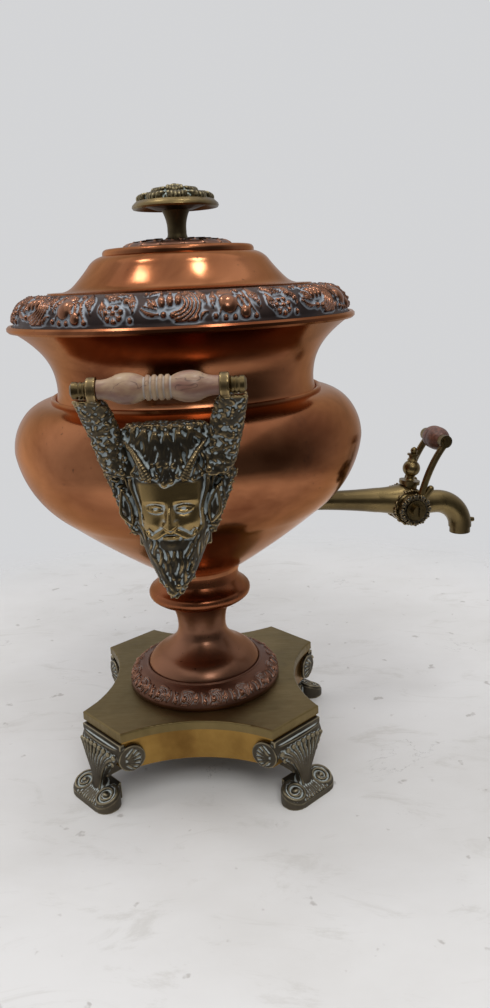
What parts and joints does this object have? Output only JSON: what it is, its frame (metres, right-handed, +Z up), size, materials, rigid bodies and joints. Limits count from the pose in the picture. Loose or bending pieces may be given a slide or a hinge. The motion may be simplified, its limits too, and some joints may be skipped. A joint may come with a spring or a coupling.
{
  "type": "hot water urn",
  "caption": "Lidded copper hot-water urn on a footed plinth, with satyr-mask handles, a lever tap and an iron-heated core.",
  "frame": {"origin": "on the urn's axis, in the plane that the four feet stand on", "axes": "+Z up along the urn's axis; +X towards the side of the tap, which is turned 14 degrees from it towards +Y; -Y towards the left handle"},
  "size_m": [0.3664, 0.328, 0.4457],
  "materials": {
    "polished_copper": "spun copper, polished with brown tarnish",
    "stamped_copper": "stamped copper, dark in the recesses and bright on the ridges",
    "dark_bronze": "cast bronze with dark patina and pale residue in the recesses",
    "brass": "satin brass",
    "bone": "turned bone, worn smooth",
    "turned_wood": "turned reddish-brown hardwood, waxed",
    "iron": "scaled by heat",
    "steel": "plain, dull"
  },
  "bodies": {
    "urn": {"base_slab": "brass", "base_skirt": "stamped_copper", "foot_front_right": "dark_bronze", "foot_rear_right": "dark_bronze", "foot_rear_left": "dark_bronze", "foot_front_left": "dark_bronze", "foot_screws": "steel", "pedestal": "polished_copper", "pedestal_border": "stamped_copper", "collar": "polished_copper", "tie_bolt": "steel", "tie_washer": "steel", "tie_nut": "steel", "bowl": "polished_copper", "neck": "polished_copper", "rim_band": "stamped_copper", "heater_sleeve": "polished_copper", "left_bracket": "dark_bronze", "left_grip": "bone", "left_rod": "steel", "left_rod_caps": "brass", "left_bracket_screws": "brass", "left_bracket_washers": "brass", "right_bracket": "dark_bronze", "right_grip": "bone", "right_rod": "steel", "right_rod_caps": "brass", "right_bracket_screws": "brass", "right_bracket_washers": "brass", "tap_body": "brass", "tap_saddle": "brass", "tap_finial": "brass"},
    "lid": {"lid_dome": "polished_copper", "lid_ring": "polished_copper", "lid_rosette": "stamped_copper", "knob_stem": "dark_bronze", "knob_dish": "brass", "knob_flower": "brass", "knob_washer": "steel", "knob_nut": "steel"},
    "sleeve_cap": {"sleeve_cap": "brass"},
    "billet": {"heater_billet": "iron"},
    "tap_lever": {"tap_plug": "brass", "tap_arm_left": "brass", "tap_arm_right": "brass", "tap_grip": "turned_wood", "tap_pin": "brass", "plug_washers": "brass", "plug_screws": "brass"}
  },
  "joints": [
    {"name": "lid_lift", "type": "slide", "parent": "urn", "child": "lid", "axis": [0, 0, 1], "range_m": [0, 0.15]},
    {"name": "sleeve_cap_lift", "type": "slide", "parent": "urn", "child": "sleeve_cap", "axis": [0, 0, 1], "range_m": [0, 0.045]},
    {"name": "billet_lift", "type": "slide", "parent": "urn", "child": "billet", "axis": [0, 0, 1], "range_m": [0, 0.03]},
    {"name": "tap_turn", "type": "hinge", "parent": "urn", "child": "tap_lever", "pos_m": [0.17417, 0.04342, 0.191], "axis": [-0.2419, 0.9703, 0], "range_deg": [0, 60]}
  ]
}
